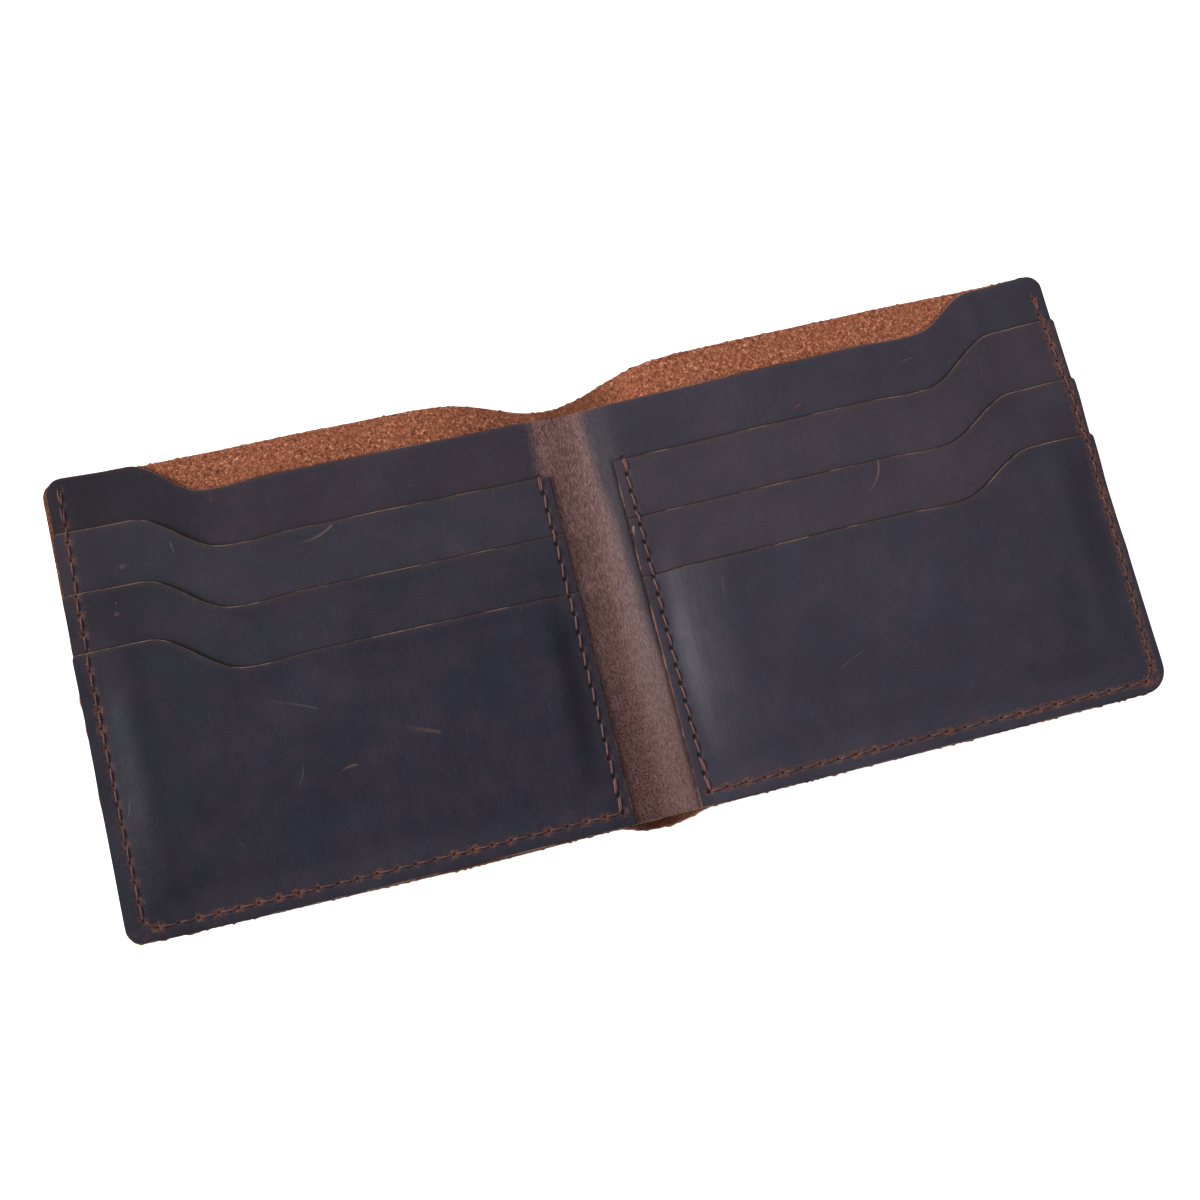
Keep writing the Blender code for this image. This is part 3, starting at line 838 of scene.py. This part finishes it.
def grain(g, tint, sides, band=0.0, ends=0.2, painted_sheen=0.0, marks=(), outside=False):
    """Oiled pull-up leather: near black with a cool cast, darker towards its outer end, and browner where
    it is rubbed or torn by stitches. band browns it along the edge seam, and a painted sheen of the
    given strength lightens it near the fold. The stitch holes get painted shade, and a layer that lies
    under another gets a painted shadow along that layer's edges and under it; the outside gets no such
    shadow, and has no inner seam. Returns its colour, roughness and normal."""
    vector, across, up = g.map("leather")
    u = g.size_of(across)
    _, own, beyond = g.map("edges")
    tone = g.noise(vector, 26.0, 3.0, 0.55, 0.4)
    cloud = g.noise(g.stretch(vector, 1, 1, 31.0), 5.0, 5.0, 0.6)
    streak = g.noise(g.stretch(vector, 2.6, 0.20), 1.5, 4.0, 0.6)
    fine = g.noise(vector, 0.45, 4.0, 0.65)
    share = g.plus(g.times(tone, 0.6), g.plus(g.times(cloud, 0.25), g.times(streak, 0.35)))
    colour = g.mix(g.fade(share, 0.45, 0.85, 0.18, 0.0), tint, (0.0, 0.0, 0.0))
    colour = g.mix(g.fade(share, 0.55, 0.90, 0.0, 0.12), colour, (0.130, 0.075, 0.075))
    hue = g.noise(g.stretch(vector, 1, 1, 53.0), 8.0, 3.0, 0.6)
    colour = g.mix(g.fade(hue, 0.48, 0.62, 0.0, 0.055), colour, (0.120, 0.040, 0.070))
    colour = g.mix(g.fade(hue, 0.46, 0.34, 0.0, 0.035), colour, (0.040, 0.080, 0.120))
    # painted sheen: a lighter patch near the fold, standing in for light on the slope there
    if painted_sheen:
        sheen_near_fold = g.times(g.fade(u, 9.5, 15.0), g.fade(u, 28.0, 15.0), g.fade(up, 3.0, 30.0, 0.25, 1.0))
        sheen_near_fold = g.times(sheen_near_fold, g.fade(streak, 0.3, 0.7, 0.60, 1.0))
        colour = g.mix(g.times(sheen_near_fold, painted_sheen), colour, (0.112, 0.100, 0.120))
    colour = g.mix(g.fade(fine, 0.38, 0.72, 0.0, 0.10), colour, (0.110, 0.080, 0.090))
    colour = g.mix(g.fade(u, 70.0, 104.0, 0.0, ends), colour, NEAR_BLACK)

    ragged = g.noise(vector, 1.1, 5.0, 0.72)
    torn, shaded_hole = 0.0, 0.0
    for side in sides:
        tears, hole, inner_hole, off, under = seam_marks(g, vector, across, up, side)
        near = g.most(g.fade(g.size_of(off), 1.7, 0.5), g.times(g.fade(g.size_of(under), 1.3, 0.4), 0.7))
        near = g.times(near, g.fade(g.times(across, side), 8.0, 10.0), g.fade(ragged, 0.40, 0.66), band)
        torn = g.most(torn, tears, near)
        shaded_hole = g.most(shaded_hole, hole) if outside else g.most(shaded_hole, hole, inner_hole)
    torn_colour = g.mix(g.fade(fine, 0.38, 0.62), (0.046, 0.018, 0.015), (0.190, 0.074, 0.048))
    colour = g.mix(g.times(torn, 0.85), colour, torn_colour)

    rubbed = g.times(g.fade(own, 1.6, 0.2), g.fade(ragged, 0.40, 0.65, 0.10, 0.40))
    colour = g.mix(rubbed, colour, (0.060, 0.036, 0.036))
    bare = g.times(g.fade(own, 0.30, 0.06), g.fade(ragged, 0.30, 0.60, 0.35, 0.90))
    colour = g.mix(bare, colour, (0.215, 0.130, 0.098))
    for start, end, width, bend, strength, rubbed_to in marks:
        mark = scuff_mark(g, across, up, start, end, width, bend, fine)
        colour = g.mix(g.times(mark, strength), colour, rubbed_to)
    scuff = scratches(g, vector, 30.0, 8.0, 0.16, 0.32, 11.0)
    hair = scratches(g, vector, 12.0, 4.5, 0.08, 0.35, 47.0)
    scraped = g.times(g.plus(g.times(scuff, 0.35), g.times(hair, 0.30)), g.fade(fine, 0.3, 0.55))
    colour = g.mix(scraped, colour, (0.17, 0.105, 0.080))
    dust = g.times(specks(g, vector, 3.6, 0.12, 0.30, 9.0), 0.3)
    dust = g.most(specks(g, vector, 9.0, 0.14, 0.35, 5.0), dust)
    colour = g.mix(g.times(dust, 0.65), colour, (0.42, 0.38, 0.40))
    # painted shade in the stitch holes
    colour = g.mix(g.times(shaded_hole, 0.92), colour, (0.006, 0.003, 0.003))
    # painted shadow along the edges of the layer on top, and under it
    if not outside:
        colour = g.mix(g.fade(beyond, 0.60, 0.05, 0.0, 0.85), colour, (0.003, 0.002, 0.003))

    pores = g.cells(g.stretch(vector, 1, 1, 3.0), 0.42).outputs["Distance"]
    creases = g.noise(g.stretch(vector, 1.6, 0.7), 0.8, 4.0, 0.6)
    height = g.plus(g.times(pores, 0.3), g.plus(g.times(creases, 0.7), g.times(fine, 0.45)))
    height = g.minus(height, g.plus(g.times(shaded_hole, 3.0), g.times(scraped, 1.5)))
    rough = g.plus(g.fade(cloud, 0.3, 0.7, 0.50, 0.60), g.times(torn, 0.25))
    return colour, rough, g.bump(height, 0.000045)


def grain_leather(name, tint, sides, **kinds):
    g = Graph(name)
    colour, rough, normal = grain(g, tint, sides, **kinds)
    return g.finish(Base_Color=colour, Roughness=rough, Specular_IOR_Level=SHEEN, Normal=normal)


def liner_leather(name, left, right, marks):
    """The liner: as the pockets, but rubbed brown and finely creased over the fold, with a painted greyer
    sheen on its right side, painted shade in the fine creases and a painted shadow along the pockets'
    edges."""
    g = Graph(name)
    vector, across, up = g.map("leather")
    _, _, beyond = g.map("edges")
    # the liner's right tint is lighter than its left, partly as painted light
    tint = g.mix(g.fade(across, -10.0, 10.0), left, right)
    colour, rough, normal = grain(g, tint, (-1, 1), marks=marks)
    colour = g.mix(g.fade(across, -76.0, -92.0, 0.0, 0.5), colour, NEAR_BLACK)
    high = g.fade(up, 0.0, 100.0)
    waver = g.times(g.minus(g.noise(g.stretch(vector, 1, 0.35), 3.0, 3.0, 0.6), 0.5), 3.5)
    off = g.size_of(g.plus(across, g.plus(g.times(high, 2.2), 0.2)))
    brown = g.fade(g.plus(g.minus(off, g.minus(8.4, g.times(high, 2.8))), waver), 1.9, -1.5)

    wander = g.noise(g.stretch(vector, 1.0, 0.5), 2.2, 2.0, 0.5)
    bent = g.add("ShaderNodeVectorMath", {0: vector, 1: wander}, operation="ADD").outputs[0]
    folds = g.noise(g.stretch(bent, 1.0, 0.32), 0.36, 2.0, 0.5, 0.3)
    pebble = g.cells(g.stretch(bent, 1.0, 0.45), 0.46, "DISTANCE_TO_EDGE").outputs[0]
    grit = g.noise(vector, 0.46, 3.0, 0.7)
    mottle = g.noise(g.stretch(vector, 1.0, 0.6), 1.9, 4.0, 0.65)
    low = g.fade(up, 58.0, 10.0)
    skin = g.mix(g.fade(folds, 0.32, 0.68), (0.108, 0.048, 0.043), (0.226, 0.122, 0.112))
    # painted shade in the fine creases between the pebbles
    skin = g.mix(g.fade(pebble, 0.16, 0.02, 0.0, 0.30), skin, (0.040, 0.016, 0.016))
    skin = g.mix(g.fade(mottle, 0.40, 0.75, 0.0, 0.12), skin, (0.130, 0.058, 0.050))
    skin = g.mix(g.times(low, 0.50), skin, (0.070, 0.024, 0.022))
    skin = g.mix(g.times(g.fade(grit, 0.46, 0.36), low, 0.35), skin, (0.290, 0.135, 0.105))
    left_low = g.fade(g.plus(across, g.times(up, 0.08)), 6.0, -1.0, 0.25, 1.0)
    dotted = g.times(g.fade(mottle, 0.36, 0.52), g.fade(up, 64.0, 14.0, 0.08, 1.0))
    dots = g.times(g.fade(grit, 0.53, 0.60), dotted, left_low)
    skin = g.mix(g.times(dots, 0.95), skin, (0.010, 0.008, 0.013))
    # painted sheen: greyer and lighter on the right side of the fold
    sheen = g.times(g.fade(across, -0.5, 5.0), g.fade(folds, 0.3, 0.7, 0.30, 0.65))
    sheen = g.times(sheen, g.fade(up, 2.0, 45.0, 0.35, 1.0))
    skin = g.mix(sheen, skin, (0.150, 0.108, 0.108))
    colour = g.mix(brown, colour, skin)
    # painted sheen: a greyer band beside the brown, on the right of the fold
    beside = g.times(g.fade(across, 3.0, 5.5), g.fade(across, 11.0, 7.0), g.minus(1.0, brown))
    colour = g.mix(g.times(beside, g.fade(folds, 0.3, 0.7, 0.2, 0.5)), colour, (0.080, 0.064, 0.068))
    # painted shadow along the rear pocket's top edge and the panels' inner edges
    colour = g.mix(g.fade(beyond, 1.1, 0.0, 0.0, 0.5), colour, (0.012, 0.008, 0.010))

    crease = g.plus(g.times(folds, 1.2), g.fade(pebble, 0.0, 0.2, 0.0, 0.6))
    crease = g.times(crease, g.fade(off, 11.0, 5.0), g.fade(up, 10.0, 80.0, 0.6, 1.1))
    normal = g.bump(crease, 0.00010, normal)
    return g.finish(Base_Color=colour, Roughness=rough, Specular_IOR_Level=SHEEN, Normal=normal)


def suede(name):
    """The flesh side: a short dense nap with darker and lighter tufts."""
    g = Graph(name)
    vector, across, _ = g.map("leather")
    _, _, beyond = g.map("edges")
    nap = g.noise(vector, 0.48, 4.0, 0.75, 0.6)
    tufts = g.noise(g.stretch(vector, 1, 1, 17.0), 0.95, 4.0, 0.7, 0.5)
    patches = g.noise(vector, 7.0, 3.0, 0.5)
    dark, mid, light = (0.070, 0.014, 0.006), (0.300, 0.088, 0.040), (0.860, 0.400, 0.235)
    share = g.plus(g.times(nap, 0.55), g.times(tufts, 0.45))
    colour = g.mix(g.fade(share, 0.38, 0.52), dark, mid)
    colour = g.mix(g.fade(share, 0.50, 0.66), colour, light)
    colour = g.mix(g.fade(patches, 0.35, 0.65, 0.0, 0.25), colour, mid)
    # painted shade: darker in the cover's dip at the fold, and along the liner's edge
    fold_dip_shade = g.fade(g.size_of(g.minus(across, 3.0)), 14.0, 3.0, 0.0, 0.62)
    colour = g.mix(g.most(g.fade(beyond, 0.9, 0.0, 0.0, 0.55), fold_dip_shade), colour, (0.075, 0.022, 0.010))
    bump = g.bump(g.plus(nap, g.times(tufts, 1.2)), 0.00026)
    sheen = {"Sheen_Weight": 0.2, "Sheen_Roughness": 0.5}
    return g.finish(Base_Color=colour, Roughness=0.95, Specular_IOR_Level=0.12, Normal=bump, **sheen)


def cut_edge(name, extent, light, dark, burnish):
    """A raw cut edge of a sheet of some extent in millimetres: tan fibre, burnished dark in places."""
    g = Graph(name)
    mm = g.piece_space(extent)
    fibre = g.noise(mm, 0.40, 4.0, 0.7)
    patch = g.noise(mm, 9.0, 3.0, 0.6)
    dark_from = 0.72 - 0.55 * burnish
    colour = g.mix(g.fade(fibre, 0.35, 0.65), tuple(0.6 * c for c in light), light)
    colour = g.mix(g.fade(patch, dark_from, dark_from - 0.2), dark, colour)
    return g.finish(Base_Color=colour, Roughness=0.85, Specular_IOR_Level=0.2, Normal=g.bump(fibre, 0.00008))


def thread_material(name, base, bright):
    """Waxed thread with fine fibres, and painted shade near the holes and between its plies."""
    g = Graph(name)
    mm = g.piece_space((110, 100, 8))
    _, share, ply = g.map("stitch")
    fibre = g.noise(mm, 0.3, 3.0, 0.7)
    patch = g.noise(mm, 2.5, 2.0, 0.5)
    colour = g.mix(g.fade(fibre, 0.35, 0.65), base, bright)
    colour = g.mix(g.fade(patch, 0.40, 0.65, 0.0, 0.5), colour, tuple(0.45 * c for c in base))
    # painted shade between the plies and near the holes
    colour = g.mix(g.fade(ply, 650.0, 150.0, 0.0, 0.8), colour, tuple(0.25 * c for c in base))
    colour = g.mix(g.fade(share, 550.0, 900.0, 0.0, 0.9), colour, tuple(0.12 * c for c in base))
    return g.finish(Base_Color=colour, Roughness=0.6, Specular_IOR_Level=0.4, Normal=g.bump(fibre, 0.00005))


def floor_material():
    g = Graph("white_table")
    spot = g.add("ShaderNodeTexCoord", {}).outputs["Object"]
    paper = g.noise(spot, 0.4, 3.0)
    colour = g.mix(g.fade(paper, 0.3, 0.7), (0.90, 0.90, 0.90), (0.92, 0.92, 0.92))
    lit = {"Emission_Color": (1.0, 1.0, 1.0), "Emission_Strength": 0.80}
    return g.finish(Base_Color=colour, Roughness=0.9, Specular_IOR_Level=0.1, **lit)


# ---------------------------------------- setting
def floor():
    """A light table: a white sheet that is lit from below as well, so that shadows all but vanish."""
    size = 3.0
    corners = [(-size, -size, -0.0002), (size, -size, -0.0002), (size, size, -0.0002), (-size, size, -0.0002)]
    table = mesh_object("table_top", np.array(corners), [(0, 1, 2, 3)], [floor_material()])


def softbox(name, location, size, power):
    light = bpy.data.lights.new(name, "AREA")
    light.shape = "RECTANGLE"
    light.size, light.size_y = size
    light.energy = power
    obj = bpy.data.objects.new(name, light)
    obj.location = location
    obj.rotation_euler = Vector(location).to_track_quat("Z", "Y").to_euler()
    bpy.context.scene.collection.objects.link(obj)


def lights():
    world = bpy.data.worlds.new("studio")
    world.use_nodes = True
    background = world.node_tree.nodes["Background"]
    background.inputs["Color"].default_value = (0.94, 0.97, 1.0, 1)
    background.inputs["Strength"].default_value = 0.35
    bpy.context.scene.world = world
    softbox("left_softbox", (-2.0, 0.3, 1.2), (1.2, 1.2), 60.0)
    softbox("back_softbox", (0.2, 1.8, 1.7), (1.2, 1.2), 24.0)
    bpy.context.scene.view_settings.view_transform = "Standard"


def camera():
    data = bpy.data.cameras.new("camera")
    data.lens = 45
    data.sensor_width = 36
    data.clip_start = 0.01
    obj = bpy.data.objects.new("camera", data)
    obj.location = (-0.03856, -0.05365, 0.32956)
    obj.rotation_euler = (0.1842, -0.0691, -0.2440)
    bpy.context.scene.collection.objects.link(obj)
    bpy.context.scene.camera = obj


# ---------------------------------------- the wallet
TAN, PALE = (0.170, 0.095, 0.070), (0.110, 0.095, 0.105)
RED, ORANGE = (0.300, 0.030, 0.022), (0.300, 0.135, 0.072)
# scuffs that stand out: start and end in millimetres of flat leather, half width, bow, strength, colour
MARKS = {
    "rear_left": [
        ((-64.5, 75.2), (-55.2, 77.4), 0.40, -0.9, 0.65, TAN),
        ((-88.4, 77.8), (-88.9, 80.9), 0.30, 0.0, 0.45, TAN),
        ((-98.0, 77.9), (-100.0, 77.9), 0.70, 0.0, 0.40, TAN),
    ],
    "middle_left": [((-101.2, 67.9), (-102.7, 67.9), 0.60, 0.0, 0.40, TAN)],
    "front_left": [
        ((-78.2, 43.5), (-66.4, 39.2), 0.30, 0.3, 0.30, PALE),
        ((-64.8, 24.8), (-60.8, 25.9), 0.34, 0.4, 0.60, TAN),
        ((-71.4, 30.0), (-73.0, 24.6), 0.22, 0.5, 0.35, PALE),
        ((-50.4, 31.6), (-42.7, 28.5), 0.60, 0.0, 0.30, TAN),
    ],
    "middle_right": [
        ((59.6, 57.5), (64.4, 64.2), 0.34, -1.1, 0.75, TAN),
        ((8.2, 60.6), (8.3, 62.8), 0.26, 0.2, 0.9, (0.42, 0.24, 0.16)),
    ],
    "front_right": [
        ((23.5, 39.8), (24.2, 47.5), 0.16, 0.2, 0.45, PALE),
        ((7.7, 9.0), (7.7, 44.0), 0.24, 0.0, 0.85, ORANGE),
    ],
    "liner": [
        ((49.9, 80.6), (51.6, 81.4), 0.16, 0.2, 0.9, RED),
        ((-10.0, 0.4), (10.0, 0.4), 0.28, 0.0, 0.8, ORANGE),
    ],
}


def build():
    flesh = suede("suede")
    raw = cut_edge("cut_edge", (120, 70, 5), (0.23, 0.128, 0.092), (0.030, 0.016, 0.014), 0.30)
    raw_cover = cut_edge("cover_cut_edge", (226, 102, 17), (0.36, 0.150, 0.075), (0.050, 0.020, 0.014), 0.0)
    rubbed = thread_material("rubbed_thread", (0.072, 0.023, 0.019), (0.250, 0.096, 0.070))
    clean = thread_material("clean_thread", (0.090, 0.028, 0.025), (0.400, 0.180, 0.155))
    back = grain_leather("cover_grain", TINTS_WITH_PAINTED_LIGHT["cover"], (-1, 1), outside=True)
    outer_cover([back, raw_cover, flesh])
    face = liner_leather("liner_grain", TINTS_WITH_PAINTED_LIGHT["liner_left"], TINTS_WITH_PAINTED_LIGHT["liner_right"], MARKS["liner"])
    liner([face, raw, flesh])
    for side, hand in HANDS.items():
        for kind in POCKETS:
            which = f"{kind}_{hand}"
            band = 0.95 if side > 0 else 0.30
            painted_sheen = 0.34 if which == "front_right" else 0.0
            kinds = {"band": band, "painted_sheen": painted_sheen, "marks": MARKS.get(which, ())}
            face = grain_leather(f"{which}_grain", TINTS_WITH_PAINTED_LIGHT[which], (side,), **kinds)
            pocket(side, kind, [face, raw, flesh])
        edge_seam(side, rubbed)
        inner_seam(side, clean)
        for kind in FEET:
            foot_seam(side, kind, clean)


build()
floor()
lights()
camera()
